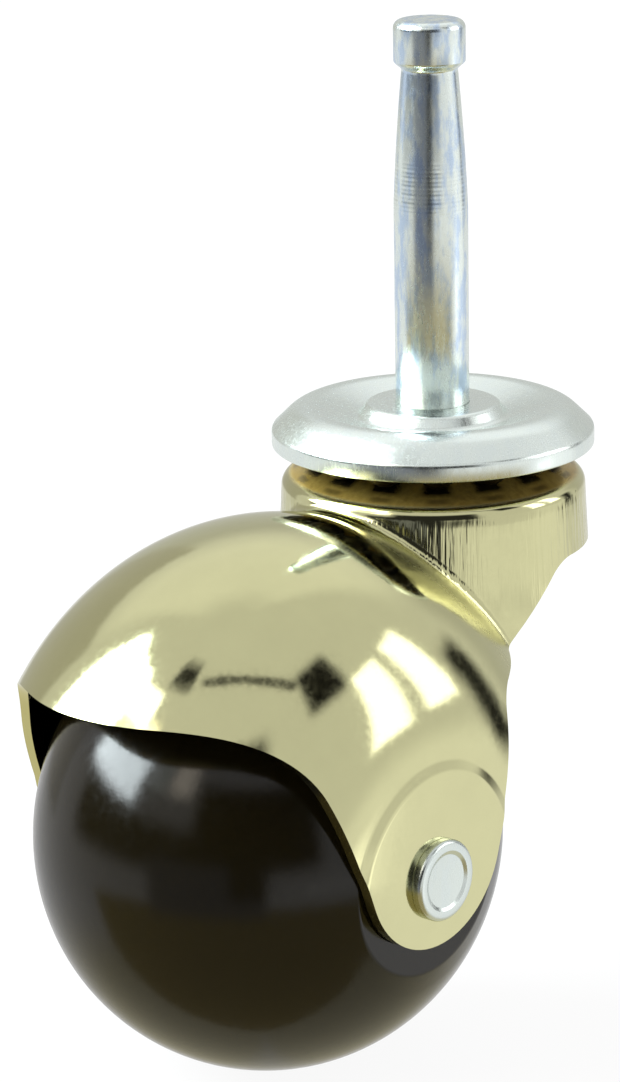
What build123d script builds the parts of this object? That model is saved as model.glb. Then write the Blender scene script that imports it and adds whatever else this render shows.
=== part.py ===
from build123d import *

import os
from math import cos, radians, sin, sqrt, tan

# Furniture castor: a ball wheel under a drawn hood that swivels on a ring of bearing balls.
# Millimetres, +Z up along the stem, origin on the stem's axis at the seat where the socket rests.
# The nose of the hood points to -X and the axle lies along Y.

# Stem with a gripping neck
stem_r = 3.97
stem_length = 41.3
stem_plain_length = 21.6
neck_r = 3.0
neck_z = 36.0
neck_mid_r = 3.52
neck_mid_z = 29.6
collar_r = 3.83
collar_z = 37.0
collar_round = 0.9
spigot_r = 3.2
seat_depth = 0.4
seat_gap = 0.03
shoulder_r = 3.8
rivet_head_r = 5.0
rivet_head_height = 1.5

# Pressed sheet of the cap and of the hood
sheet = 1.2

# Swivel bearing
ball_r = 2.38
ball_count = 15
ball_pitch_r = 13.3
ball_z = -3.75
ball_phase = 222
race_gap = 0.03

# Top cap
cap_r = 17.4
cap_bottom_z = -4.5
boss_r = 7.1
valley_r = 8.0
valley_z = -1.4
cap_fall_angle = 44
cap_dish_angle = 16
cap_boss_fillet = 0.4
cap_lip_fillet = 0.75

# Swivel cup of the hood
plate_z = -3.2
plate_hole_gap = 0.08
race_start = 200
race_end = 243
cup_r = 16.4
cup_taper = 2.9
cup_rim_fillet = 1.4
cup_end_z = -31.0
cup_bottom_z = -15.0
washer_r = 8.0
washer_thickness = 1.6
washer_play = 0.05
washer_chamfer = 0.2

# Ball wheel
wheel_r = 25.4
wheel_hub_face = 21.9
wheel_hub_r = 10.6
wheel_edge_fillet = 1.2
trail = 27.4
axle_drop = 41.2

# Dome and ears of the hood
crown_r = 23.2
crown_rise = 10.6
ear_face = 23.5
ear_pad_r = 11.2
ear_pad_foot_r = 12.4
ear_pad_blend = 2.0
crease_fillet = 3.0

# Trim outline seen from the side, from the axle's centre
nose_height = 19.5
ear_bottom = -7.2
ear_round = 10.2
ear_corner_x = 7.3
front_knee_x = -17.7
front_knee_round = 12.0
rear_knee_x = 14.2
rear_knee_z = 16.0
rear_knee_round = 4.0
rear_step_x = 20.0
rear_step_z = 17.6
rear_step_round = 6.0
rear_corner_x = 28.5
rear_corner_round = 5.0
trim_reach = 60.0

# Axle
axle_r = 2.38
axle_hole_gap = 0.03
axle_head_r = 4.3
axle_head_height = 1.1
axle_head_fillet = 0.55
dish_r = 3.2
dish_depth = 0.2
sleeve_r = 3.2
sleeve_gap = 0.05

race_r = ball_r + race_gap
wheel_centre = Vector(-trail, 0, -axle_drop)
axle_axis = Axis(wheel_centre, (0, 1, 0))
# Section plane of what is turned about the axle: local x runs along the axle and local y is up
axle_plane = Plane(origin=wheel_centre, x_dir=(0, 1, 0), z_dir=(1, 0, 0))
side_plane = Plane(origin=wheel_centre, x_dir=(1, 0, 0), z_dir=(0, -1, 0))

os.makedirs("parts", exist_ok=True)


def race_point(angle, distance):
    """Point of the half section at an angle and a distance from a bearing ball's centre."""
    a = radians(angle)
    return (ball_pitch_r + distance * cos(a), ball_z + distance * sin(a))


def save(part, name):
    """Label a finished piece and write it."""
    part.label = name
    export_step(part, f"parts/{name}.step")


# Stem: turned pin with a rounded collar, a tapered neck and a spigot peened over the washer
washer_top_z = plate_z - sheet - washer_play
washer_bottom_z = washer_top_z - washer_thickness
rivet_bottom_z = washer_bottom_z - rivet_head_height
with BuildPart() as stem:
    with BuildSketch(Plane.XZ):
        with BuildLine():
            Polyline((0, rivet_bottom_z), (0, stem_length), (collar_r, stem_length), (collar_r, collar_z))
            Spline((collar_r, collar_z), (neck_r, neck_z), tangents=((0, -1), (0, -1)))
            ThreePointArc((neck_r, neck_z), (neck_mid_r, neck_mid_z), (stem_r, stem_plain_length))
            Line((stem_r, stem_plain_length), (stem_r, 0))
            Polyline((stem_r, 0), (shoulder_r, -seat_depth), (spigot_r, -seat_depth))
            Polyline((spigot_r, -seat_depth), (spigot_r, washer_bottom_z), (rivet_head_r, washer_bottom_z))
            EllipticalCenterArc((0, washer_bottom_z), rivet_head_r, rivet_head_height, 270, arc_size=90)
        make_face()
    revolve(axis=Axis.Z)
    fillet(stem.edges().sort_by(Axis.Z)[-1], collar_round)
save(stem.part, "stem")


def cap_face_line(inset):
    """Half section of the cap's upper face, or of its lower face at an inset of the sheet."""
    crest_r = race_r + sheet - inset
    crest_out = race_point(90 - cap_fall_angle, crest_r)
    crest_in = race_point(90 + cap_dish_angle, crest_r)
    floor_z = valley_z - inset
    foot_r = crest_in[0] - (crest_in[1] - floor_z) / tan(radians(cap_dish_angle))
    lip_r = cap_r - inset
    lip_z = crest_out[1] - (lip_r - crest_out[0]) * tan(radians(cap_fall_angle))
    FilletPolyline(
        (spigot_r, -inset),
        (boss_r - inset / 2, -inset),
        (valley_r - inset / 2, floor_z),
        (foot_r, floor_z),
        crest_in,
        radius=cap_boss_fillet,
    )
    CenterArc((ball_pitch_r, ball_z), crest_r, 90 - cap_fall_angle, cap_fall_angle + cap_dish_angle)
    FilletPolyline(crest_out, (lip_r, lip_z), (lip_r, cap_bottom_z), radius=cap_lip_fillet - inset / 2)


# Top cap: one pressed dish whose crest holds the upper race, with a sunk seat for the stem's shoulder
with BuildPart() as top_cap:
    with BuildSketch(Plane.XZ):
        with BuildLine():
            cap_face_line(0)
            cap_face_line(sheet)
            Line((spigot_r, 0), (spigot_r, -sheet))
            Line((cap_r, cap_bottom_z), (cap_r - sheet, cap_bottom_z))
        make_face()
    revolve(axis=Axis.Z)
    with BuildSketch(Plane.XY):
        Circle(stem_r + seat_gap)
    extrude(amount=-seat_depth, mode=Mode.SUBTRACT)
save(top_cap.part, "top_cap")

# Retaining washer under the plate of the hood
with BuildPart() as retaining_washer:
    with BuildSketch(Plane.XY.offset(washer_bottom_z)):
        Circle(washer_r)
        Circle(spigot_r, mode=Mode.SUBTRACT)
    extrude(amount=washer_thickness)
    chamfer(retaining_washer.edges().filter_by(GeomType.CIRCLE).sort_by(SortBy.RADIUS)[-2:], washer_chamfer)
save(retaining_washer.part, "retaining_washer")

# Bearing balls, loose in the ring between the race of the cap and the race of the hood
for index in range(ball_count):
    angle = radians(ball_phase + index * 360 / ball_count)
    centre = Vector(ball_pitch_r * cos(angle), ball_pitch_r * sin(angle), ball_z)
    with BuildPart(Plane(origin=centre)) as bearing_ball:
        Sphere(ball_r)
    save(bearing_ball.part, f"bearing_ball_{index + 1:02d}")


def cup_line(inset):
    """Half section of the swivel cup: flat plate, lower race, sloping rim and tapered wall."""
    fall = sin(radians(race_start))
    slope = radians(270 - race_end)
    corner_r = (plate_z - ball_z - race_r * fall) / (1 + fall)
    corner = race_point(race_start, race_r + corner_r)
    top_z = plate_z - inset
    race_out = race_point(race_end, race_r + inset)
    wall_r = cup_r - inset
    wall_z = race_out[1] - (wall_r - race_out[0]) * tan(slope)
    end_r = wall_r + (wall_z - cup_end_z) * tan(radians(cup_taper))
    Polyline((0, cup_end_z), (0, top_z), (corner[0], top_z))
    CenterArc(corner, corner_r - inset, race_start - 180, 270 - race_start)
    CenterArc((ball_pitch_r, ball_z), race_r + inset, race_start, race_end - race_start)
    FilletPolyline(race_out, (wall_r, wall_z), (end_r, cup_end_z), radius=cup_rim_fillet - inset)
    Line((end_r, cup_end_z), (0, cup_end_z))


def dome_line(inset):
    """Half section of the dome about the axle: a round crown above two ears with flat pads."""
    radius = crown_r - inset
    pad = ear_face - inset
    foot = sqrt(radius**2 - (ear_pad_foot_r - crown_rise) ** 2)
    near_pad = Polyline((foot, ear_pad_foot_r), (pad, ear_pad_r), (pad, 0))
    far_pad = Polyline((-foot, ear_pad_foot_r), (-pad, ear_pad_r), (-pad, 0))
    Line(near_pad @ 1, far_pad @ 1)
    ThreePointArc((-foot, ear_pad_foot_r), (0, crown_rise + radius), (foot, ear_pad_foot_r))


def hood_form(inset):
    """Cup and dome joined with a rounded crease: the hood's outside, or its inside at an inset."""
    with BuildPart() as form:
        with BuildSketch(Plane.XZ):
            with BuildLine():
                cup_line(inset)
            make_face()
        revolve(axis=Axis.Z)
        with BuildSketch(axle_plane) as dome:
            with BuildLine():
                dome_line(inset)
            make_face()
            fillet(dome.vertices().sort_by(Axis.Y)[-4:], ear_pad_blend)
        revolve(axis=axle_axis)
        crease = form.edges(Select.NEW).filter_by(lambda e: e.center().Z > cup_end_z + 1)
        fillet(crease, crease_fillet + inset)
    return form.part


# Hood: one drawn shell of sheet, trimmed along its side outline, with ears for the axle
trim_rounds = (front_knee_round, ear_round, ear_round, rear_knee_round, rear_step_round, rear_corner_round)
hood_outside = hood_form(0)
hood_inside = hood_form(sheet)
with BuildPart() as hood:
    add(hood_outside)
    add(hood_inside, mode=Mode.SUBTRACT)
    with BuildSketch(side_plane):
        with BuildLine():
            trim = FilletPolyline(
                (-trim_reach, nose_height),
                (front_knee_x, nose_height),
                (-ear_corner_x, ear_bottom),
                (ear_corner_x, ear_bottom),
                (rear_knee_x, rear_knee_z),
                (rear_step_x, rear_step_z),
                (rear_corner_x, axle_drop + cup_bottom_z),
                (trim_reach, axle_drop + cup_bottom_z),
                radius=trim_rounds,
            )
            Polyline(trim @ 0, (-trim_reach, -trim_reach), (trim_reach, -trim_reach), trim @ 1)
        make_face()
    extrude(amount=trim_reach, both=True, mode=Mode.SUBTRACT)
    with BuildSketch(Plane.XY.offset(plate_z)):
        Circle(spigot_r + plate_hole_gap)
    extrude(amount=-2 * sheet, mode=Mode.SUBTRACT)
    with BuildSketch(side_plane):
        Circle(axle_r + axle_hole_gap)
    extrude(amount=trim_reach, both=True, mode=Mode.SUBTRACT)
save(hood.part, "hood")

# Wheel: moulded ball, a little narrower along the axle, with flat hubs and a bore for the sleeve
bore_r = sleeve_r + sleeve_gap
with BuildPart() as wheel:
    with BuildSketch(axle_plane) as ball_section:
        with BuildLine():
            ThreePointArc((wheel_hub_face, wheel_hub_r), (0, wheel_r), (-wheel_hub_face, wheel_hub_r))
            Polyline((-wheel_hub_face, wheel_hub_r), (-wheel_hub_face, bore_r), (wheel_hub_face, bore_r))
            Line((wheel_hub_face, bore_r), (wheel_hub_face, wheel_hub_r))
        make_face()
        fillet(ball_section.vertices().group_by(Axis.Y)[-1], wheel_edge_fillet)
    revolve(axis=axle_axis)
save(wheel.part, "wheel")

# Axle: rivet through both ears, with dished heads on their outer faces
head_face = ear_face + axle_head_height
dish_face = head_face - dish_depth
with BuildPart() as axle:
    with BuildSketch(axle_plane) as rivet_section:
        with BuildLine():
            Polyline((dish_face, 0), (0, 0), (0, axle_r), (ear_face, axle_r), (ear_face, axle_head_r))
            Polyline((ear_face, axle_head_r), (head_face, axle_head_r), (head_face, dish_r))
            Polyline((head_face, dish_r), (dish_face, dish_r - 2 * dish_depth), (dish_face, 0))
        make_face()
        fillet(rivet_section.vertices().group_by(Axis.Y)[-1].sort_by(Axis.X)[-1], axle_head_fillet)
        mirror(about=Plane.YZ)
    revolve(axis=axle_axis)
save(axle.part, "axle")

# Sleeve between the ears, on which the wheel turns
with BuildPart() as axle_sleeve:
    with BuildSketch(side_plane):
        Circle(sleeve_r)
        Circle(axle_r + sleeve_gap, mode=Mode.SUBTRACT)
    extrude(amount=ear_face - sheet, both=True)
save(axle_sleeve.part, "axle_sleeve")
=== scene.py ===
import math

import bmesh
import bpy
import numpy as np
from bpy.props import FloatProperty, FloatVectorProperty, IntProperty, PointerProperty
from mathutils import Matrix, Vector


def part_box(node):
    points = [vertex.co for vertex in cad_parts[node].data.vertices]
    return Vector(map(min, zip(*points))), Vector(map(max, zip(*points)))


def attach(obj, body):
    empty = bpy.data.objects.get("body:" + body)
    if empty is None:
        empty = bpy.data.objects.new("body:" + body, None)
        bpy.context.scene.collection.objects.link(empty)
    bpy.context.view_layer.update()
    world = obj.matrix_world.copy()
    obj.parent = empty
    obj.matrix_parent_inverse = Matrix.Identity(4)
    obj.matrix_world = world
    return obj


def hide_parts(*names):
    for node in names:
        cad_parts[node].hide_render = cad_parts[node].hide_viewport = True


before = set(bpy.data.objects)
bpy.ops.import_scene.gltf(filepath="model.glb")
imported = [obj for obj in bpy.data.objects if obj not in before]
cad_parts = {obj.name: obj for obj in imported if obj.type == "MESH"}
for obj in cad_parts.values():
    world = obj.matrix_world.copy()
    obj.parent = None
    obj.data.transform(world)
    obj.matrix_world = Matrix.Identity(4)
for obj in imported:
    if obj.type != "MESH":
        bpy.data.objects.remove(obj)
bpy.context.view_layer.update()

bl_info = {
    "name": "Hooded Ball Castor",
    "version": (1, 0, 0),
    "blender": (4, 5, 0),
    "location": "View3D > Sidebar > Castor",
    "description": "Builds the plated, drawn and moulded surfaces of a hooded ball castor around its frame",
    "category": "Add Mesh",
}

MM = 0.001
PHOTO_LONG_SIDE_PX = 1082
SENSOR_MM = 36.0
SMOOTH_ANGLE = math.radians(32)
WELD_CELL = 0.0002 * MM
ON_AXIS = 1e-9
SEATING_STEPS, STRIKING_STEPS = 10, 60

# Numbers of the Mix node's sockets for its share and two ends, and of its output
MIX_COLOUR_INPUTS, MIX_COLOUR_OUTPUT = (0, 6, 7), 2
MIX_NUMBER_INPUTS, MIX_NUMBER_OUTPUT = (0, 2, 3), 0

WHEEL_LOW, WHEEL_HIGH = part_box("wheel")
CAP_LOW, CAP_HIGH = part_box("top_cap")
STEM_LOW, STEM_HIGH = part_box("stem")
AXLE_LOW, AXLE_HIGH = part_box("axle")
BALL_LOW, BALL_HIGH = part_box("bearing_ball_01")
BALL_NODES = sorted(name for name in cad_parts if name.startswith("bearing_ball_"))
BALL_CENTRE = (BALL_HIGH + BALL_LOW) / 2
BALL_HEIGHT = (BALL_HIGH.z + BALL_LOW.z) / 2
BALL_RADIUS = (BALL_HIGH.z - BALL_LOW.z) / 2
WHEEL_CENTRE = (WHEEL_LOW + WHEEL_HIGH) / 2


# Things that the plating mirrors: name, bearing from the camera, height, half width, half height and
# soft edge in degrees, and colour
PANELS = (
    ("table", 0, -90, 181, 88, 4, (0.84, 0.84, 0.84)),
    ("below the table", 0, -90, 181, 55, 12, (0.75, 0.7, 0.5)),
    ("near table", -12, -90, 78, 71, 3, (0.42, 0.34, 0.16)),
    ("table's right", 68, -11, 44, 2.5, 3, (1.05, 1.05, 1.05)),
    ("table's far right", 98, -16, 20, 12, 6, (1.05, 1.05, 1.05)),
    ("back wall", 180, 56, 52, 20, 8, (1.02, 1.02, 1.02)),
    ("back counter", 180, 10, 50, 18, 6, (0.6, 0.6, 0.58)),
    ("doorway", -146, 12, 20, 20, 2, (0.53, 0.52, 0.48)),
    ("front shade", -50, 5, 56, 10, 5, (0.06, 0.06, 0.06)),
    ("photographer", -1, 17.5, 33, 19.5, 5, (0.03, 0.03, 0.03)),
    ("tall window", -92, 38, 20, 20, 3, (17, 19, 19.5)),
    ("upper window", -62, 51, 13, 6, 3, (7, 7, 7)),
    ("between windows", -62, 37, 8, 10, 3, (1.6, 1.7, 1.6)),
    ("side window", -46, 38, 7, 9, 4, (4.2, 3.8, 3.2)),
    ("right strip", 101.5, 21, 6, 15, 1.5, (3, 3, 3)),
    ("middle strip", 83.5, 20, 6.5, 15, 1.5, (3, 3, 3)),
    ("low glare", 85, -19, 7, 4, 3, (1.7, 1.7, 1.7)),
    ("tripod", -26, -11, 30, 12, 4, (0.2, 0.21, 0.25)),
    ("camera", -5, -2, 9, 13, 4, (0.03, 0.03, 0.03)),
    ("dark corner", 117.5, 4, 5.5, 14, 4, (0.02, 0.02, 0.02)),
    ("high fitting", 65, 43, 10, 9, 3, (0.01, 0.01, 0.01)),
    ("far fitting", -39, 67, 12, 5, 3, (0.03, 0.03, 0.03)),
)
RAIL_ENDS = ((-25, 65), (56, 46))
RAIL_EDGE, RAIL_REACH, RAIL_COLOUR = (0.04, 0.02), (0.93, 0.95), (0.12, 0.12, 0.12)


# Sizes and colours that a user would change


def in_mm(name, description, default):
    """Length property whose default is given in millimetres."""
    return FloatProperty(name=name, description=description, default=default * MM, unit="LENGTH")


def in_degrees(name, description, default):
    """Angle property whose default is given in degrees."""
    return FloatProperty(name=name, description=description, default=math.radians(default), subtype="ANGLE")


def in_colour(name, description, default):
    """Colour property whose default is given as linear red, green and blue."""
    return FloatVectorProperty(name=name, description=description, default=default, subtype="COLOR")


class CastorSizes(bpy.types.PropertyGroup):
    """Sizes of the turned, pressed and moulded pieces; those that the frame fixes are read from it."""

    stem_radius: in_mm("Stem radius", "Radius of the plain length of the stem", 3.97)
    plain_length: in_mm("Plain length", "Height at which the stem starts to taper", 21.6)
    neck_radius: in_mm("Neck radius", "Smallest radius, under the collar", 3.0)
    neck_middle_radius: in_mm("Neck middle radius", "Radius half way up the taper", 3.52)
    neck_height: in_mm("Neck height", "Height of the smallest radius", 36.0)
    neck_middle_height: in_mm("Neck middle height", "Height of the middle radius", 29.6)
    collar_radius: in_mm("Collar radius", "Radius of the collar on top", 3.83)
    collar_height: in_mm("Collar height", "Height at which the collar starts", 37.0)
    collar_round: in_mm("Collar rounding", "Rounding of the collar's top edge", 0.9)
    spigot_radius: in_mm("Spigot radius", "Radius of the stem inside the swivel", 3.2)
    shoulder_radius: in_mm("Shoulder radius", "Radius of the stem's shoulder on its seat", 3.8)
    seat_depth: in_mm("Seat depth", "How far the stem's shoulder is sunk in the cap", 0.4)
    sheet: in_mm("Sheet", "Thickness of the pressed sheet", 1.2)
    boss_radius: in_mm("Boss radius", "Radius of the flat seat round the stem", 7.1)
    valley_radius: in_mm("Valley radius", "Radius where the cap's valley starts", 8.0)
    valley_depth: in_mm("Valley depth", "Depth of the cap's valley below the seat", 1.4)
    pitch_radius: in_mm("Ball pitch radius", "Radius of the ring of bearing balls", 13.3)
    race_gap: in_mm("Race gap", "Running gap round a bearing ball", 0.03)
    fall_angle: in_degrees("Fall angle", "Slope of the cap outside its crest", 44)
    dish_angle: in_degrees("Dish angle", "Slope of the cap inside its crest", 16)
    lip_round: in_mm("Lip rounding", "Rounding of the cap above its lip", 0.75)
    cup_radius: in_mm("Cup radius", "Radius of the swivel cup at the top of its wall", 16.4)
    cup_height: in_mm("Cup height", "Height of the top of the cup's wall", -8.034)
    cup_taper: in_degrees("Cup taper", "Widening of the cup's wall downwards", 2.9)
    cup_slope: in_degrees("Cup slope", "Fall of the cup's rim outside the race", 27)
    cup_round: in_mm("Cup rounding", "Rounding between the cup's rim and its wall", 1.4)
    crown_radius: in_mm("Crown radius", "Radius of the dome's section through the axle", 23.2)
    crown_rise: in_mm("Crown rise", "Distance of that section's centre from the axle", 10.6)
    drawn_crease: in_mm("Drawn crease", "Rounding between cup and dome in the frame", 3.0)
    struck_crease: in_mm("Struck crease", "Rounding to which the crease is struck", 1.0)
    hub_radius: in_mm("Hub radius", "Radius of the ball wheel's flat hub", 10.6)
    bore_radius: in_mm("Bore radius", "Radius of the ball wheel's bore", 3.25)
    axle_radius: in_mm("Axle radius", "Radius of the rivet's shank", 2.38)
    head_height: in_mm("Head height", "Height of the rivet's head", 1.1)
    dish_radius: in_mm("Dish radius", "Radius of the dish in the rivet's head", 3.2)


class CastorFinishes(bpy.types.PropertyGroup):
    """Colours of the plating, the moulding and the bearing steel."""

    brass: in_colour("Brass", "Pale brass plating of the hood", (0.62, 0.605, 0.345))
    zinc: in_colour("Zinc", "Bright zinc plating of stem and cap", (0.81, 0.88, 0.84))
    plastic: in_colour("Plastic", "Dark brown of the moulded ball", (0.0052, 0.0037, 0.0011))
    # The bearing steel's colour is darkened nearly to black: painted shade of the balls under the cap
    steel: in_colour("Bearing steel", "Steel of the greased balls", (0.016, 0.013, 0.008))
    grease: in_colour("Grease", "Amber film on the races", (0.62, 0.43, 0.10))


class CastorStudio(bpy.types.PropertyGroup):
    """Where the camera stands and how bright the studio is."""

    bearing: in_degrees("Bearing", "Camera's bearing round the stem", -48)
    elevation: in_degrees("Elevation", "Camera's height as an angle", 16)
    roll: in_degrees("Roll", "Camera's tilt about its own line of sight", -1)
    distance: FloatProperty(
        name="Distance", description="Camera's distance from its target", default=0.45, unit="LENGTH"
    )
    focal_px: FloatProperty(
        name="Focal length in pixels", description="Focal length on the photograph's long side",
        default=4140.0,
    )
    target: FloatVectorProperty(
        name="Target", description="Point at the middle of the picture",
        default=(-0.009, 0.010, -0.01545), subtype="XYZ",
    )
    room: FloatProperty(
        name="Room", description="Brightness of the studio's pale walls", default=0.80, min=0.0
    )
    segments: IntProperty(
        name="Segments", description="Segments round a turned piece", default=160, min=48
    )


# Surfaces


def arc(centre, radius, start, end, count):
    """Points of a circular arc: centre plus radius times (cos, sin) of angles in even steps, in degrees."""
    angle = np.radians(np.linspace(start, end, count))
    return np.stack([centre[0] + radius * np.cos(angle), centre[1] + radius * np.sin(angle)], axis=1)


def rounded(corners, steps=7):
    """Open polyline with arcs at its corners, each corner given as (x, y, rounding).

    A corner is cut back along both sides by the rounding times the tangent of half its turn, and bridged by
    the quadratic curve whose middle control point is the corner, which is close to the arc.
    """
    points = np.array([corner[:2] for corner in corners], float)
    pieces = [points[:1]]
    share = np.linspace(0, 1, steps)[:, None]
    for before, corner, after, (_, _, rounding) in zip(points, points[1:], points[2:], corners[1:]):
        if rounding == 0:
            pieces.append(corner[None])
            continue
        back = (before - corner) / np.linalg.norm(before - corner)
        ahead = (after - corner) / np.linalg.norm(after - corner)
        turn = math.pi - math.acos(float(np.clip(back @ ahead, -1, 1)))
        cut = rounding * math.tan(turn / 2)
        start, end = corner + cut * back, corner + cut * ahead
        pieces.append((1 - share) ** 2 * start + 2 * share * (1 - share) * corner + share**2 * end)
    pieces.append(points[-1:])
    return np.vstack(pieces)


def piece_mesh(name, vertices, faces):
    """Mesh of quads and triangles; a quad whose last corner is below zero is a triangle."""
    faces = np.asarray(faces)
    used = faces >= 0
    mesh = bpy.data.meshes.new(name)
    mesh.vertices.add(len(vertices))
    mesh.vertices.foreach_set("co", np.asarray(vertices, np.float32).ravel())
    count = used.sum(axis=1)
    mesh.loops.add(int(count.sum()))
    mesh.loops.foreach_set("vertex_index", faces[used].astype(np.int32))
    mesh.polygons.add(len(faces))
    mesh.polygons.foreach_set("loop_start", np.concatenate([[0], np.cumsum(count)[:-1]]).astype(np.int32))
    mesh.update(calc_edges=True)
    mesh.validate()
    mesh.shade_smooth()
    mesh.set_sharp_from_angle(angle=SMOOTH_ANGLE)
    return mesh


def turned(profile, segments):
    """Vertices and faces of a surface of revolution about local Z.

    The profile is a closed loop of (radius, height) going anticlockwise, or an open line from pole to pole.
    Each vertex is (radius cos angle, radius sin angle, height) on a grid of profile points by angles, and a
    profile point on the axis is one shared vertex.
    """
    radius, height = profile[:, 0], profile[:, 1]
    pole = radius < ON_AXIS
    angle = np.arange(segments) * (2 * math.pi / segments)
    ring = np.stack(np.broadcast_arrays(
        radius[:, None] * np.cos(angle), radius[:, None] * np.sin(angle), height[:, None]
    ), axis=2).reshape(-1, 3)
    index = np.arange(len(profile) * segments).reshape(len(profile), segments)
    index[pole] = index[pole][:, :1]
    closed = not pole[[0, -1]].all()
    low = index if closed else index[:-1]
    high = np.roll(index, -1, axis=0) if closed else index[1:]
    next_low, next_high = np.roll(low, -1, axis=1), np.roll(high, -1, axis=1)
    quads = np.stack([low, next_low, next_high, high], axis=2).reshape(-1, 4)
    first_pole = quads[:, 0] == quads[:, 1]
    last_pole = quads[:, 2] == quads[:, 3]
    quads[first_pole] = np.insert(quads[first_pole][:, [0, 2, 3]], 3, -1, axis=1)
    quads[last_pole, 3] = -1
    kept, renumbered = np.unique(quads[quads >= 0], return_inverse=True)
    quads[quads >= 0] = renumbered
    return ring[kept], quads


def about_axle(vertices):
    """The same points with local Z laid along the axle and the origin moved to the wheel's centre."""
    return np.stack([vertices[:, 0], vertices[:, 2], -vertices[:, 1]], axis=1) + np.array(WHEEL_CENTRE)


def place(name, surface, body, nodes, slot):
    """Object at the origin with a surface's vertices and faces and the finish of a slot.

    It rides on a body and stands for the nodes that it replaces.
    """
    mesh = piece_mesh(name, *surface)
    mesh.materials.append(finish(slot))
    piece = bpy.data.objects.new(name, mesh)
    bpy.context.scene.collection.objects.link(piece)
    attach(piece, body)
    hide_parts(*nodes)


# Shader node groups


def new_group(name, inputs, outputs):
    """Empty shader node group with named number inputs and named outputs, and its two end nodes."""
    group = bpy.data.node_groups.new(name, "ShaderNodeTree")
    for label, kind, value in inputs:
        socket = group.interface.new_socket(label, in_out="INPUT", socket_type=kind)
        if value is not None:
            socket.default_value = value
    for label, kind in outputs:
        group.interface.new_socket(label, in_out="OUTPUT", socket_type=kind)
    return group, group.nodes.new("NodeGroupInput"), group.nodes.new("NodeGroupOutput")


def node(tree, kind, **settings):
    """Node with attributes set by name, and input sockets by number or name through the inputs entry."""
    made = tree.nodes.new(kind)
    inputs = settings.pop("inputs", {})
    for key, value in settings.items():
        setattr(made, key, value)
    for key, value in inputs.items():
        if isinstance(value, bpy.types.NodeSocket):
            tree.links.new(value, made.inputs[key])
        else:
            made.inputs[key].default_value = value
    return made


def math_node(tree, operation, first, second=0.0, third=0.0):
    """Output of a Math node on sockets or plain numbers."""
    inputs = {0: first, 1: second, 2: third}
    return node(tree, "ShaderNodeMath", operation=operation, inputs=inputs).outputs[0]


def product(tree, *factors):
    """Product of two or more sockets or plain numbers."""
    total = factors[0]
    for factor in factors[1:]:
        total = math_node(tree, "MULTIPLY", total, factor)
    return total


def hypotenuse(tree, first, second):
    """Root of the sum of two sockets' squares."""
    squares = (product(tree, first, first), product(tree, second, second))
    return math_node(tree, "SQRT", math_node(tree, "ADD", *squares))


def ramp(tree, value, low, high, low_out=0.0, high_out=1.0):
    """Value carried from one range to another with smooth ends and held beyond them."""
    inputs = {0: value, 1: low, 2: high, 3: low_out, 4: high_out}
    return node(tree, "ShaderNodeMapRange", interpolation_type="SMOOTHSTEP", inputs=inputs).outputs[0]


def plating_group():
    """Mottle of plated metal: cloudy patches and fine grain, each as a value from 0 to 1."""
    group, start, end = new_group(
        "plating mottle",
        [
            ("Vector", "NodeSocketVector", None),
            ("Patch Scale", "NodeSocketFloat", 400.0),
            ("Grain Scale", "NodeSocketFloat", 4000.0),
        ],
        [("Patches", "NodeSocketFloat"), ("Grain", "NodeSocketFloat")],
    )
    layers = (("Patch Scale", "Patches", 4.0, 0.6), ("Grain Scale", "Grain", 3.0, 0.7))
    for scale, output, detail, roughness in layers:
        noise = node(group, "ShaderNodeTexNoise", inputs={
            "Vector": start.outputs["Vector"], "Scale": start.outputs[scale],
            "Detail": detail, "Roughness": roughness,
        })
        group.links.new(noise.outputs["Fac"], end.inputs[output])
    return group


def mottled(tree, group, vector, patch_scale, grain_scale):
    """Patches and grain of the mottle group at two scales."""
    made = tree.nodes.new("ShaderNodeGroup")
    made.node_tree = group
    tree.links.new(vector, made.inputs["Vector"])
    made.inputs["Patch Scale"].default_value = patch_scale
    made.inputs["Grain Scale"].default_value = grain_scale
    return made.outputs["Patches"], made.outputs["Grain"]


def new_material(name):
    """Material with a Principled shader, and its tree, shader and Object coordinates."""
    material = bpy.data.materials.new(name)
    material.use_nodes = True
    tree = material.node_tree
    shader = tree.nodes["Principled BSDF"]
    coordinates = tree.nodes.new("ShaderNodeTexCoord").outputs["Object"]
    return material, tree, shader, coordinates


def mixed(tree, share, first, second):
    """Colour socket that goes from the first colour to the second with a share from 0 to 1."""
    ends = [end if isinstance(end, bpy.types.NodeSocket) else (*end, 1) for end in (first, second)]
    mix = node(tree, "ShaderNodeMix", data_type="RGBA", inputs=dict(zip(MIX_COLOUR_INPUTS, (share, *ends))))
    return mix.outputs[MIX_COLOUR_OUTPUT]


def tinted(tree, colour, value, low, high):
    """Colour made darker or lighter by a value that runs from 0 to 1."""
    dark, light = ([min(1.0, c * share) for c in colour] for share in (low, high))
    return mixed(tree, value, dark, light)


def bumped(tree, height, strength, depth, under=None):
    """Normal of a bump from a height socket, laid over the normal of another bump where one is given."""
    made = node(tree, "ShaderNodeBump", inputs={"Strength": strength, "Distance": depth, "Height": height})
    if under is not None:
        tree.links.new(under, made.inputs["Normal"])
    return made.outputs[0]


def around_stem(tree, coordinates):
    """Distance from the stem's axis, turn about it and height, of the shaded point."""
    x, y, z = node(tree, "ShaderNodeSeparateXYZ", inputs={0: coordinates}).outputs
    return hypotenuse(tree, x, y), math_node(tree, "ARCTAN2", y, x), z


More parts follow.
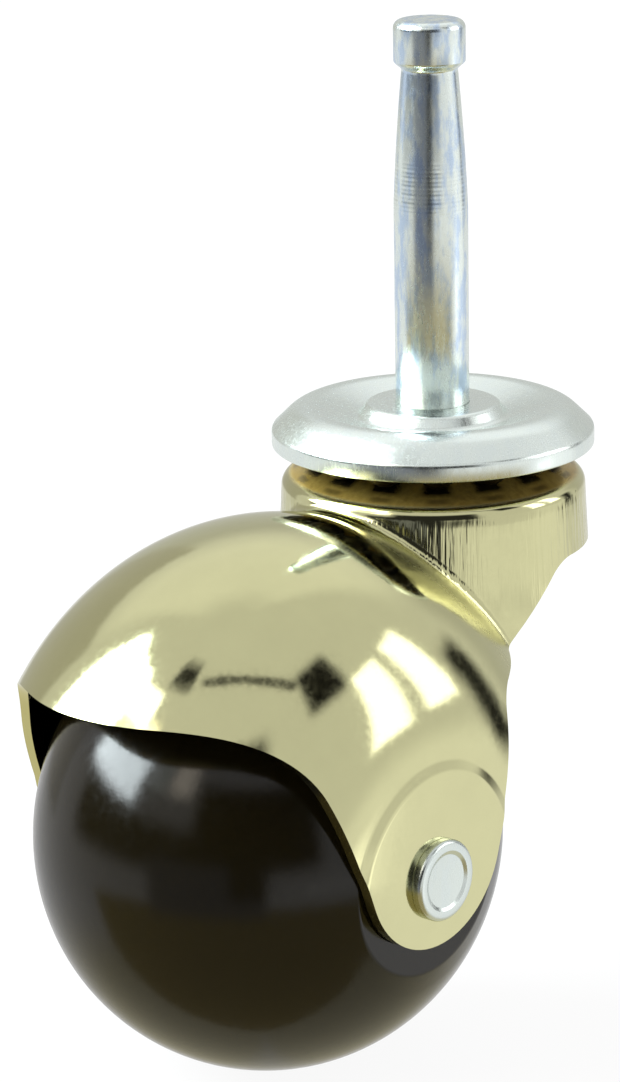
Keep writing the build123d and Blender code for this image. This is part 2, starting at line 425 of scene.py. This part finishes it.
def zinc_material(colour, plating):
    """Bright zinc: bluish streaks on the stem, a darker tone towards the bottom, on the rivet and sleeve,
    and a film of grease inside the cap.
    """
    stretch, bluer = (1.0, 1.0, 0.3), (0.64, 0.74, 1.0)
    cloud_edge, stem_edge, cloud_on_cap, cloud_on_stem = (0.42, 0.62), (0.0, 2 * MM), 0.06, 0.85
    darker_below_edge, darker_below_share = (-16 * MM, -12 * MM), 0.8
    grease_edge, grease_shades, greased_metal = (2.95 * MM, 2.7 * MM), (0.5, 1.3), 0.5
    gloss_edge, roughness = (0.35, 0.65), (0.22, 0.28)
    patch_bump, grain_bump, depth = 0.12, 0.1, 0.01 * MM
    scene = bpy.context.scene
    material, tree, shader, coordinates = new_material("zinc plate")
    streaky = node(tree, "ShaderNodeMapping", inputs={0: coordinates, 3: stretch}).outputs[0]
    patches, grain = mottled(tree, plating, streaky, patch_scale=800.0, grain_scale=2600.0)
    radius, _, z = around_stem(tree, coordinates)
    out = math_node(tree, "SUBTRACT", radius, scene.castor_sizes.pitch_radius)
    up = math_node(tree, "SUBTRACT", z, BALL_HEIGHT)
    greasy = ramp(tree, hypotenuse(tree, out, up), *grease_edge)
    on_stem = ramp(tree, z, *stem_edge, cloud_on_cap, cloud_on_stem)
    cloud = product(tree, ramp(tree, patches, *cloud_edge), on_stem)
    # Darker towards the bottom: the zinc's colour times 0.8 below -16 mm, on the rivet and the sleeve
    darker_below = tinted(tree, colour, ramp(tree, z, *darker_below_edge), darker_below_share, 1.0)
    bare = mixed(tree, cloud, darker_below, tuple(c * f for c, f in zip(colour, bluer)))
    film = mixed(tree, greasy, bare, tinted(tree, scene.castor_finishes.grease, grain, *grease_shades))
    soft = bumped(tree, patches, patch_bump, depth)
    tree.links.new(film, shader.inputs["Base Color"])
    tree.links.new(ramp(tree, grain, *gloss_edge, *roughness), shader.inputs["Roughness"])
    tree.links.new(ramp(tree, greasy, 0.0, 1.0, 1.0, greased_metal), shader.inputs["Metallic"])
    tree.links.new(bumped(tree, grain, grain_bump, depth, soft), shader.inputs["Normal"])
    return material


def painted_ball_shade(tree, radius, turn, grain):
    """Painted shade and painted reflection of the balls on the race: a dark mark beside each ball and a
    fainter one outside it.
    """
    inner_beat, inner_edge = (-0.7, 0.5), (14.3 * MM, 13.5 * MM)
    outer_beat, outer_share = (-0.1, 0.9), 0.55
    outer_start, outer_end = (14.3 * MM, 14.7 * MM), (15.4 * MM, 14.9 * MM)
    unevenness = 1.6
    from_first = math_node(tree, "SUBTRACT", turn, math.atan2(BALL_CENTRE.y, BALL_CENTRE.x))
    beat = math_node(tree, "COSINE", product(tree, from_first, float(len(BALL_NODES))))
    rough = product(tree, math_node(tree, "SUBTRACT", grain, 0.5), unevenness)
    uneven = math_node(tree, "ADD", beat, rough)
    inner = product(tree, ramp(tree, uneven, *inner_beat), ramp(tree, radius, *inner_edge))
    outer = product(
        tree, ramp(tree, uneven, *outer_beat, 0.0, outer_share),
        ramp(tree, radius, *outer_start), ramp(tree, radius, *outer_end),
    )
    return math_node(tree, "MAXIMUM", inner, outer)


def brass_material(colour, plating):
    """Pale brass plating with draw lines down the swivel cup and a film of amber grease on the race, with
    painted shade and reflections of the balls on it.
    """
    shades, gloss_edge, roughness = (0.93, 1.05), (0.3, 0.7), (0.06, 0.12)
    race_edge, race_height = (16.0 * MM, 15.2 * MM), (-8.5 * MM, -8.1 * MM)
    grease_shades, grease_rough, greased_metal, painted_shade_colour = (0.35, 1.15), 0.27, 0.6, (0.02, 0.015, 0.006)
    dull_start, dull_end, dull_height = (16.9 * MM, 17.6 * MM), (25 * MM, 19 * MM), (-9 * MM, -10 * MM)
    dullness = 0.22
    wall_top, wall_foot, wall_edge = (-8.5 * MM, -9.8 * MM), (-21 * MM, -16 * MM), (17.4 * MM, 16.8 * MM)
    lines_per_radian, lines_per_metre = 34.0, 120.0
    draw_bump, patch_bump, grain_bump = (1.0, 0.11 * MM), (0.3, 0.02 * MM), (0.15, 0.01 * MM)
    material, tree, shader, coordinates = new_material("brass plate")
    patches, grain = mottled(tree, plating, coordinates, patch_scale=170.0, grain_scale=1500.0)
    radius, turn, z = around_stem(tree, coordinates)
    greasy = product(tree, ramp(tree, radius, *race_edge), ramp(tree, z, *race_height))
    grease = tinted(tree, bpy.context.scene.castor_finishes.grease, grain, *grease_shades)
    film = mixed(tree, greasy, tinted(tree, colour, patches, *shades), grease)
    # Painted shade and painted reflection of the balls: dark marks on the race's grease at the balls' pitch
    film = mixed(tree, product(tree, painted_ball_shade(tree, radius, turn, grain), greasy), film, painted_shade_colour)
    sheen = node(tree, "ShaderNodeMix", data_type="FLOAT", inputs=dict(zip(
        MIX_NUMBER_INPUTS, (greasy, ramp(tree, grain, *gloss_edge, *roughness), grease_rough),
    ))).outputs[MIX_NUMBER_OUTPUT]
    dulled = product(
        tree, ramp(tree, radius, *dull_end), ramp(tree, radius, *dull_start),
        ramp(tree, z, *dull_height, 0.0, dullness),
    )
    vector = node(tree, "ShaderNodeCombineXYZ", inputs={
        0: product(tree, turn, lines_per_radian), 1: product(tree, z, lines_per_metre),
    }).outputs[0]
    lines = node(tree, "ShaderNodeTexNoise", inputs={
        "Vector": vector, "Scale": 1.0, "Detail": 2.0, "Roughness": 0.5,
    }).outputs["Fac"]
    wall = product(tree, ramp(tree, z, *wall_top), ramp(tree, z, *wall_foot))
    on_cup = product(tree, ramp(tree, radius, *wall_edge), wall)
    drawn = bumped(tree, product(tree, lines, on_cup), *draw_bump)
    soft = bumped(tree, patches, *patch_bump, drawn)
    tree.links.new(film, shader.inputs["Base Color"])
    tree.links.new(math_node(tree, "ADD", sheen, dulled), shader.inputs["Roughness"])
    tree.links.new(ramp(tree, greasy, 0.0, 1.0, 1.0, greased_metal), shader.inputs["Metallic"])
    tree.links.new(bumped(tree, grain, *grain_bump, soft), shader.inputs["Normal"])
    return material


def plastic_material(colour, plating):
    """Glossy dark brown moulded plastic with faint handling marks."""
    shades, gloss_edge, roughness = (0.8, 1.25), (0.3, 0.75), (0.11, 0.18)
    specular, grain_bump = 0.34, (0.3, 0.03 * MM)
    material, tree, shader, coordinates = new_material("wheel plastic")
    patches, grain = mottled(tree, plating, coordinates, patch_scale=60.0, grain_scale=900.0)
    tree.links.new(tinted(tree, colour, patches, *shades), shader.inputs["Base Color"])
    tree.links.new(ramp(tree, grain, *gloss_edge, *roughness), shader.inputs["Roughness"])
    tree.links.new(bumped(tree, grain, *grain_bump), shader.inputs["Normal"])
    shader.inputs["Specular IOR Level"].default_value = specular
    return material


def steel_material(colour, plating):
    """Dull bearing steel, its colour darkened nearly to black as painted shade under the cap."""
    shades, gloss_edge, roughness = (0.5, 1.5), (0.35, 0.7), (0.35, 0.5)
    material, tree, shader, coordinates = new_material("bearing steel")
    patches, _ = mottled(tree, plating, coordinates, patch_scale=900.0, grain_scale=6000.0)
    tree.links.new(tinted(tree, colour, patches, *shades), shader.inputs["Base Color"])
    tree.links.new(ramp(tree, patches, *gloss_edge, *roughness), shader.inputs["Roughness"])
    shader.inputs["Metallic"].default_value = 1.0
    return material


def finish(slot):
    """Material of a record slot, made when it is first asked for."""
    found = bpy.data.materials.get(slot.replace("_", " "))
    if found:
        return found
    finishes = bpy.context.scene.castor_finishes
    plating = bpy.data.node_groups.get("plating mottle") or plating_group()
    makers = {
        "zinc_plate": (zinc_material, finishes.zinc),
        "brass_plate": (brass_material, finishes.brass),
        "wheel_plastic": (plastic_material, finishes.plastic),
        "bearing_steel": (steel_material, finishes.steel),
    }
    maker, colour = makers[slot]
    return maker(tuple(colour), plating)


# Operators


class CASTOR_OT_stem(bpy.types.Operator):
    """Turn the stem: plain length with turning rings, tapered neck, rounded collar and riveted foot"""

    bl_idname = "castor.stem"
    bl_label = "Stem"

    def execute(self, context):
        s = context.scene.castor_sizes
        top, foot = STEM_HIGH.z, STEM_LOW.z
        rings_from, rings_to = s.plain_length - 1.2 * MM, s.plain_length + 5.2 * MM
        ring_depth, fine_pitch, coarse_pitch = 0.005 * MM, 0.62 * MM, 1.7 * MM
        rivet_radius = (STEM_HIGH.x - STEM_LOW.x) / 2
        washer_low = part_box("retaining_washer")[0].z
        quarter = np.radians(np.linspace(0, 90, 14))
        head = np.stack([
            rivet_radius * np.sin(quarter), washer_low + (foot - washer_low) * np.cos(quarter),
        ], axis=1)
        shank = np.array([
            (s.spigot_radius, washer_low), (s.spigot_radius, -s.seat_depth),
            (s.shoulder_radius, -s.seat_depth), (s.stem_radius, 0), (s.stem_radius, rings_from),
        ])
        rings = np.linspace(rings_from, rings_to, 130)
        height = np.concatenate([rings, np.linspace(rings_to, s.neck_height, 40)[1:]])
        taper = self.through(
            height, (s.plain_length, s.stem_radius), (s.neck_middle_height, s.neck_middle_radius),
            (s.neck_height, s.neck_radius),
        )
        radius = np.where(height < s.plain_length, s.stem_radius, taper)
        wave = np.sin(height / fine_pitch * 2 * math.pi) * np.sin(height / coarse_pitch * 2 * math.pi + 1)
        fade = np.clip((height - rings_from) / MM, 0, 1) * np.clip((rings_to - height) / MM, 0, 1)
        radius = radius - ring_depth * fade * (1 + wave)
        share = np.linspace(0, 1, 14)[1:]
        blend = share**2 * (3 - 2 * share)
        flare = np.stack([
            s.neck_radius + (s.collar_radius - s.neck_radius) * blend,
            s.neck_height + (s.collar_height - s.neck_height) * share,
        ], axis=1)
        round_centre = (s.collar_radius - s.collar_round, top - s.collar_round)
        crown = arc(round_centre, s.collar_round, 0, 90, count=12)
        neck = np.stack([radius, height], axis=1)[1:]
        profile = np.vstack([head, shank, neck, flare, crown, (0, top)])
        surface = turned(profile, context.scene.castor_studio.segments)
        place("stem_turned", surface, "stem_and_cap", ["stem"], "zinc_plate")
        return {"FINISHED"}

    @staticmethod
    def through(height, first, second, third):
        """Radius on the circle through three (height, radius) points.

        With the circle's centre (h, r) from the two chords' bisectors, the radius is r plus or minus the
        root of the circle's radius squared less the square of the height above h, on the first point's side.
        """
        points = np.array([first, second, third])
        rows = 2 * (points[1:] - points[0])
        centre = np.linalg.solve(rows, (points[1:] ** 2).sum(axis=1) - (points[0] ** 2).sum())
        reach = np.linalg.norm(points[0] - centre)
        side = np.sign(points[0][1] - centre[1])
        return centre[1] + side * np.sqrt(np.maximum(reach**2 - (height - centre[0]) ** 2, 0))


class CASTOR_OT_cap(bpy.types.Operator):
    """Press the top cap: boss, valley, crest over the balls and turned-down lip"""

    bl_idname = "castor.cap"
    bl_label = "Top cap"

    def execute(self, context):
        s = context.scene.castor_sizes
        boss_round, valley_round, foot_round, edge_round = 0.7 * MM, 0.9 * MM, 0.4 * MM, 0.3 * MM
        hole_radius = s.stem_radius + 0.03 * MM

        def face(inset):
            """Upper face of the sheet, or its lower face at an inset of the sheet, from hole to lip."""
            crest = BALL_RADIUS + s.race_gap + s.sheet - inset
            dish, fall = math.degrees(s.dish_angle), math.degrees(s.fall_angle)
            over = arc((s.pitch_radius, BALL_HEIGHT), crest, 90 + dish, 90 - fall, count=26)
            floor = -s.valley_depth - inset
            foot = over[0, 0] - (over[0, 1] - floor) / math.tan(s.dish_angle)
            lip = CAP_HIGH.x - inset
            lip_height = over[-1, 1] - (lip - over[-1, 0]) * math.tan(s.fall_angle)
            bowl = rounded([
                (s.spigot_radius, -inset, 0), (s.boss_radius - inset / 2, -inset, boss_round),
                (s.valley_radius - inset / 2, floor, valley_round), (foot, floor, foot_round),
                (*over[0], 0),
            ])
            skirt = rounded([
                (*over[-1], 0), (lip, lip_height, s.lip_round - inset / 2), (lip, CAP_LOW.z, 0),
            ])
            return np.vstack([bowl, over[1:-1], skirt])

        upper, lower = face(0), face(s.sheet)
        upper[0] = (hole_radius, 0)
        hole = np.array([(s.spigot_radius, -s.seat_depth), (hole_radius, -s.seat_depth)])
        bottom = rounded([
            (*lower[-2], 0), (lower[-1, 0], CAP_LOW.z, edge_round), (upper[-1, 0], CAP_LOW.z, edge_round),
            (*upper[-2], 0),
        ], steps=4)
        profile = np.vstack([hole[:1], lower[:-2], bottom, upper[-3:0:-1], upper[:1], hole[1:]])
        surface = turned(profile, context.scene.castor_studio.segments)
        place("cap_pressed", surface, "stem_and_cap", ["top_cap"], "zinc_plate")
        return {"FINISHED"}


class CASTOR_OT_balls(bpy.types.Operator):
    """Set the bearing balls in their ring"""

    bl_idname = "castor.balls"
    bl_label = "Bearing balls"

    def execute(self, context):
        half = arc((0, 0), BALL_RADIUS, -90, 90, count=25)
        half[[0, -1], 0] = 0
        vertices, faces = turned(half, segments=40)
        centres = np.array([(low + high) / 2 for low, high in map(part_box, BALL_NODES)])
        every_vertex = (centres[:, None] + vertices).reshape(-1, 3)
        shift = (np.arange(len(centres)) * len(vertices))[:, None, None]
        every_face = np.where(faces >= 0, faces + shift, -1).reshape(-1, 4)
        place("bearing_balls", (every_vertex, every_face), "ball_ring", BALL_NODES, "bearing_steel")
        return {"FINISHED"}


class CASTOR_OT_hood(bpy.types.Operator):
    """Draw the hood: one welded skin over the frame's own shell, with its crease struck sharper"""

    bl_idname = "castor.hood"
    bl_label = "Hood"

    def execute(self, context):
        sizes = context.scene.castor_sizes
        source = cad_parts["hood"].data
        co = np.empty(len(source.vertices) * 3, np.float32)
        source.vertices.foreach_get("co", co)
        corner = np.empty(len(source.loops), np.int32)
        source.loops.foreach_get("vertex_index", corner)
        cells = np.round(co.reshape(-1, 3) / WELD_CELL).astype(np.int64)
        merged, index = np.unique(cells, axis=0, return_inverse=True)
        vertices = merged * WELD_CELL
        triangles = index.reshape(-1)[corner].reshape(-1, 3)
        real = (np.roll(triangles, 1, axis=1) != triangles).all(axis=1)
        faces = np.pad(triangles[real], ((0, 0), (0, 1)), constant_values=-1)
        blank = piece_mesh("hood_blank", vertices, faces)
        skin = bmesh.new()
        skin.from_mesh(blank)
        bpy.data.meshes.remove(blank)
        skin.verts.ensure_lookup_table()
        creased = {skin.verts[number] for number in self.on_crease(vertices, sizes)[0]}
        edges = [edge for edge in skin.edges if creased.issuperset(edge.verts)]
        bmesh.ops.subdivide_edges(skin, edges=edges, cuts=2, use_grid_fill=True)
        bmesh.ops.triangulate(skin, faces=skin.faces)
        vertices = self.struck(np.array([vertex.co for vertex in skin.verts]), sizes)
        faces = np.array([[vertex.index for vertex in face.verts] for face in skin.faces])
        skin.free()
        place("hood_drawn", (vertices, faces), "swivel", ["hood"], "brass_plate")
        return {"FINISHED"}

    @staticmethod
    def gaps(points, s):
        """Distances of points from the cup and from the dome, and the two outward directions.

        In the half section (radius about the stem, height) the cup is a falling rim and a tapered wall with
        an arc between them. A point on the arc's side of its centre measures from the arc, and any other
        from its own straight. From the dome the distance is the one from the ring of its section's centre
        about the axle, less the crown radius.
        """
        x, y, z = points.T
        about_stem = np.hypot(x, y)
        section = np.stack([about_stem, z], axis=1)
        corner = np.array([s.cup_radius, s.cup_height])
        wall = np.array([math.cos(s.cup_taper), math.sin(s.cup_taper)])
        rim = np.array([math.sin(s.cup_slope), math.cos(s.cup_slope)])
        middle = corner - np.linalg.solve([wall, rim], [s.cup_round, s.cup_round])
        spoke = section - middle
        length = np.linalg.norm(spoke, axis=1)
        rise = np.arctan2(spoke[:, 1], spoke[:, 0])
        on_wall, on_rim = rise < s.cup_taper, rise > math.pi / 2 - s.cup_slope
        straights = [(section - corner) @ wall, (section - corner) @ rim]
        apart = np.select([on_wall, on_rim], straights, length - s.cup_round)
        lean = np.select([on_wall[:, None], on_rim[:, None]], [wall, rim], spoke / length[:, None])
        cup_out = np.stack([x / about_stem * lean[:, 0], y / about_stem * lean[:, 0], lean[:, 1]], axis=1)
        reach, lift = x - WHEEL_CENTRE.x, z - WHEEL_CENTRE.z
        about_axle = np.hypot(reach, lift)
        crown = about_axle - s.crown_rise
        ring = np.hypot(y, crown)
        dome_out = np.stack([crown * reach / about_axle, y, crown * lift / about_axle], axis=1)
        outward = np.stack([cup_out, dome_out / ring[:, None]], axis=1)
        return np.stack([apart, ring - s.crown_radius], axis=1), outward

    def seated(self, points, radius, s):
        """Centre of the ball of a radius that touches cup and dome, by Newton steps across the crease."""
        for _ in range(SEATING_STEPS):
            apart, outward = self.gaps(points, s)
            crease = np.cross(outward[:, 0], outward[:, 1])
            rows = np.concatenate([outward, crease[:, None]], axis=1)
            wanted = np.concatenate([radius - apart, np.zeros((len(points), 1))], axis=1)
            points = points + np.linalg.solve(rows, wanted[..., None])[..., 0]
        return points

    @staticmethod
    def shares(spoke, outward):
        """How a spoke towards the crease is made up of the two inward directions, as two numbers."""
        both = (outward[:, 0] * outward[:, 1]).sum(axis=1)[:, None]
        seen = -(spoke[:, None] * outward).sum(axis=2)
        return (seen - both * seen[:, ::-1]) / (1 - both**2)

    def on_crease(self, vertices, s):
        """Numbers of the vertices on the drawn rounding, with the centre of its ball and the spoke of each.

        A vertex is on it if it lies near cup and dome where they meet at an angle, at the ball's radius or
        one sheet further out, and between the two spokes to where the ball touches cup and dome.
        """
        deepest, highest, least_sine, tolerance, margin = -1.4 * MM, 5 * MM, 0.2, 0.06 * MM, 0.02
        apart, outward = self.gaps(vertices, s)
        sine = np.linalg.norm(np.cross(outward[:, 0], outward[:, 1]), axis=1)
        beside = ((apart > deepest) & (apart < highest)).all(axis=1)
        near = np.flatnonzero(beside & (sine > least_sine))
        centre = self.seated(vertices[near], s.drawn_crease, s)
        spoke = vertices[near] - centre
        length = np.linalg.norm(spoke, axis=1)
        inset = np.minimum(abs(length - s.drawn_crease), abs(length - s.drawn_crease - s.sheet))
        mix = self.shares(spoke / length[:, None], self.gaps(centre, s)[1])
        chosen = (inset < tolerance) & (mix > -margin).all(axis=1)
        return near[chosen], centre[chosen], spoke[chosen]

    def struck(self, vertices, s):
        """Vertices with the crease between cup and dome struck to its smaller rounding.

        A vertex on the drawn rounding is carried along its spoke from the ball's centre until it meets the
        cup, the dome or the smaller ball, each moved in by the sheet for the inner face.
        """
        moved = vertices.copy()
        index, centre, spoke = self.on_crease(vertices, s)
        length = np.linalg.norm(spoke, axis=1)
        inset = np.where(length > s.drawn_crease + s.sheet / 2, s.sheet, 0)
        ray = spoke / length[:, None]
        small = self.seated(centre, s.struck_crease, s)
        outward = self.gaps(small, s)[1]
        for _ in range(STRIKING_STEPS):
            point = centre + length[:, None] * ray
            apart = self.gaps(point, s)[0].min(axis=1) + inset
            inside = s.struck_crease + inset - np.linalg.norm(point - small, axis=1)
            between = (self.shares(point - small, outward) > 0).all(axis=1)
            length = length + np.where(between, inside, apart)
        moved[index] = centre + length[:, None] * ray
        return moved


class CASTOR_OT_wheel(bpy.types.Operator):
    """Mould the ball wheel with its flat hubs and bore"""

    bl_idname = "castor.wheel"
    bl_label = "Ball wheel"

    def execute(self, context):
        s = context.scene.castor_sizes
        hub_round, trimmed = 1.2 * MM, 4
        hub = (WHEEL_HIGH.y - WHEEL_LOW.y) / 2
        radius = (WHEEL_HIGH.z - WHEEL_LOW.z) / 2
        centre = (radius**2 - hub**2 - s.hub_radius**2) / (2 * (radius - s.hub_radius))
        sweep = radius - centre
        half_angle = math.degrees(math.atan2(hub, s.hub_radius - centre))
        tread = arc((centre, 0), sweep, -half_angle, half_angle, count=90)[trimmed:-trimmed]
        low_edge = rounded([(s.bore_radius, -hub, 0), (s.hub_radius, -hub, hub_round), (*tread[0], 0)])
        high_edge = rounded([(*tread[-1], 0), (s.hub_radius, hub, hub_round), (s.bore_radius, hub, 0)])
        profile = np.vstack([low_edge[:-1], tread, high_edge[1:]])
        vertices, faces = turned(profile, context.scene.castor_studio.segments)
        place("wheel_moulded", (about_axle(vertices), faces), "wheel", ["wheel"], "wheel_plastic")
        return {"FINISHED"}


class CASTOR_OT_axle(bpy.types.Operator):
    """Form the axle rivet with a dished head on each ear"""

    bl_idname = "castor.axle"
    bl_label = "Axle"

    def execute(self, context):
        s = context.scene.castor_sizes
        dish_depth, dish_slope, dish_round = 0.2 * MM, 0.4 * MM, 0.3 * MM
        under_round, head_round, rim_round = 0.1 * MM, 0.55 * MM, 0.15 * MM
        face = (AXLE_HIGH.y - AXLE_LOW.y) / 2
        head = (AXLE_HIGH.x - AXLE_LOW.x) / 2
        under, dish = face - s.head_height, face - dish_depth
        half = rounded([
            (s.axle_radius, 0, 0), (s.axle_radius, under, 0), (head, under, under_round),
            (head, face, head_round), (s.dish_radius, face, rim_round),
            (s.dish_radius - dish_slope, dish, dish_round), (0, dish, 0),
        ])
        profile = np.vstack([half[::-1] * [1, -1], half[1:]])
        vertices, faces = turned(profile, segments=96)
        place("axle_riveted", (about_axle(vertices), faces), "swivel", ["axle"], "zinc_plate")
        return {"FINISHED"}


class CASTOR_OT_hidden(bpy.types.Operator):
    """Give the washer and the sleeve inside the hood their finishes"""

    bl_idname = "castor.hidden"
    bl_label = "Washer and sleeve"

    def execute(self, context):
        for name in ("retaining_washer", "axle_sleeve"):
            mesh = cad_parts[name].data
            mesh.materials.clear()
            mesh.materials.append(finish("zinc_plate"))
        return {"FINISHED"}


class CASTOR_OT_stage(bpy.types.Operator):
    """Lay the pale floor, light the studio and stand the camera where the photograph was taken"""

    bl_idname = "castor.stage"
    bl_label = "Stage"

    def execute(self, context):
        studio = context.scene.castor_studio
        self.floor()
        self.world(studio)
        self.camera(context, studio)
        context.scene.view_settings.view_transform = "Standard"
        return {"FINISHED"}

    def floor(self):
        """Pale floor under the wheel, lifted towards the backdrop's white for camera rays.

        It lets mirror rays through, so that the plating shows the studio's own table.
        """
        reach, pale, rough, lift_share = 3.0, 0.9, 0.9, 0.93
        sides = ((-1, -1), (1, -1), (1, 1), (-1, 1))
        mesh = bpy.data.meshes.new("floor")
        mesh.from_pydata([(x * reach, y * reach, WHEEL_LOW.z) for x, y in sides], [], [(0, 1, 2, 3)])
        floor = bpy.data.objects.new("floor", mesh)
        bpy.context.scene.collection.objects.link(floor)
        material, tree, shader, _ = new_material("pale floor")
        shader.inputs["Base Color"].default_value = (pale, pale, pale, 1)
        shader.inputs["Roughness"].default_value = rough
        shader.inputs["Specular IOR Level"].default_value = 0.0
        path = tree.nodes.new("ShaderNodeLightPath")
        lift = node(tree, "ShaderNodeEmission", inputs={"Color": (1, 1, 1, 1), "Strength": 1.0})
        lifted = node(tree, "ShaderNodeMixShader", inputs={
            0: product(tree, path.outputs["Is Camera Ray"], lift_share),
            1: shader.outputs[0], 2: lift.outputs[0],
        })
        through = node(tree, "ShaderNodeBsdfTransparent")
        surface = node(tree, "ShaderNodeMixShader", inputs={
            0: path.outputs["Is Glossy Ray"], 1: lifted.outputs[0], 2: through.outputs[0],
        })
        tree.links.new(surface.outputs[0], tree.nodes["Material Output"].inputs["Surface"])
        mesh.materials.append(material)

    def world(self, studio):
        """Pale room with soft panels, each a box in bearing and height, and a thin rail across them.

        A panel is laid over what came before it, and the rail over them all. The rail is the part of a
        great circle near the middle of its two ends. Camera rays see plain white instead.
        """
        world = bpy.data.worlds.new("studio")
        bpy.context.scene.world = world
        world.use_nodes = True
        tree = world.node_tree
        background = tree.nodes["Background"]
        towards = tree.nodes.new("ShaderNodeTexCoord").outputs["Generated"]
        x, y, z = node(tree, "ShaderNodeSeparateXYZ", inputs={0: towards}).outputs
        camera_bearing = math.degrees(studio.bearing) - 90
        bearing = product(tree, math_node(tree, "ARCTAN2", y, x), math.degrees(1))
        height = product(tree, math_node(tree, "ARCSINE", z), math.degrees(1))
        colour = (studio.room, studio.room, studio.room)
        for name, middle, up, wide, tall, soft, shown in PANELS:
            turn = math_node(tree, "SUBTRACT", bearing, middle + camera_bearing)
            near = math_node(tree, "ABSOLUTE", math_node(tree, "WRAP", turn, 180.0, -180.0))
            apart = math_node(tree, "ABSOLUTE", math_node(tree, "SUBTRACT", height, up))
            across = ramp(tree, near, wide + soft, wide - soft)
            upright = ramp(tree, apart, tall + soft, tall - soft)
            colour = mixed(tree, product(tree, across, upright), colour, shown)
            colour.node.label = name
        first, last = (self.toward(turn + camera_bearing, up) for turn, up in RAIL_ENDS)
        off_line, along = (
            node(tree, "ShaderNodeVectorMath", operation="DOT_PRODUCT", inputs={
                0: towards, 1: direction.normalized(),
            }).outputs["Value"]
            for direction in (first.cross(last), first + last)
        )
        thin = ramp(tree, math_node(tree, "ABSOLUTE", off_line), *RAIL_EDGE)
        colour = mixed(tree, product(tree, thin, ramp(tree, along, *RAIL_REACH)), colour, RAIL_COLOUR)
        colour.node.label = "rail"
        seen = tree.nodes.new("ShaderNodeLightPath").outputs["Is Camera Ray"]
        tree.links.new(mixed(tree, seen, colour, (1, 1, 1)), background.inputs["Color"])

    @staticmethod
    def toward(bearing, height):
        """Unit vector of a bearing and a height in degrees."""
        a, e = math.radians(bearing), math.radians(height)
        return Vector((math.cos(a) * math.cos(e), math.sin(a) * math.cos(e), math.sin(e)))

    def camera(self, context, studio):
        """Camera on a sphere about its target, rolled about its line of sight."""
        a, e, r = studio.bearing, studio.elevation, studio.roll
        back = Vector((math.sin(a) * math.cos(e), -math.cos(a) * math.cos(e), math.sin(e)))
        right = Vector((math.cos(a), math.sin(a), 0))
        up = back.cross(right)
        across = math.cos(r) * right + math.sin(r) * up
        upward = math.cos(r) * up - math.sin(r) * right
        lens = bpy.data.cameras.new("photograph")
        lens.sensor_width = SENSOR_MM
        lens.lens = studio.focal_px * SENSOR_MM / PHOTO_LONG_SIDE_PX
        lens.clip_start = 0.01
        camera = bpy.data.objects.new("photograph", lens)
        context.scene.collection.objects.link(camera)
        turn = Matrix((across, upward, back)).transposed().to_4x4()
        camera.matrix_world = Matrix.Translation(Vector(studio.target) + back * studio.distance) @ turn
        context.scene.camera = camera


class CASTOR_PT_panel(bpy.types.Panel):
    """Sidebar panel that lists the castor's pieces and settings"""

    bl_label = "Castor"
    bl_idname = "CASTOR_PT_panel"
    bl_space_type = "VIEW_3D"
    bl_region_type = "UI"
    bl_category = "Castor"

    def draw(self, context):
        for operator in OPERATORS:
            self.layout.operator(operator.bl_idname)
        for group_name in GROUPS:
            group = getattr(context.scene, group_name)
            box = self.layout.box()
            for name in group.__annotations__:
                box.prop(group, name)


GROUPS = {"castor_sizes": CastorSizes, "castor_finishes": CastorFinishes, "castor_studio": CastorStudio}
OPERATORS = (
    CASTOR_OT_stem,
    CASTOR_OT_cap,
    CASTOR_OT_balls,
    CASTOR_OT_hood,
    CASTOR_OT_wheel,
    CASTOR_OT_axle,
    CASTOR_OT_hidden,
    CASTOR_OT_stage,
)


def register():
    """Register the settings, the operators and the panel."""
    for name, group in GROUPS.items():
        bpy.utils.register_class(group)
        setattr(bpy.types.Scene, name, PointerProperty(type=group))
    for operator in OPERATORS:
        bpy.utils.register_class(operator)
    bpy.utils.register_class(CASTOR_PT_panel)


def unregister():
    """Take back what register added, in reverse."""
    bpy.utils.unregister_class(CASTOR_PT_panel)
    for operator in reversed(OPERATORS):
        bpy.utils.unregister_class(operator)
    for name, group in GROUPS.items():
        delattr(bpy.types.Scene, name)
        bpy.utils.unregister_class(group)


def main():
    """Register the add-on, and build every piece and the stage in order."""
    register()
    for operator in OPERATORS:
        area, action = operator.bl_idname.split(".")
        getattr(getattr(bpy.ops, area), action)()


if __name__ == "__main__":
    main()
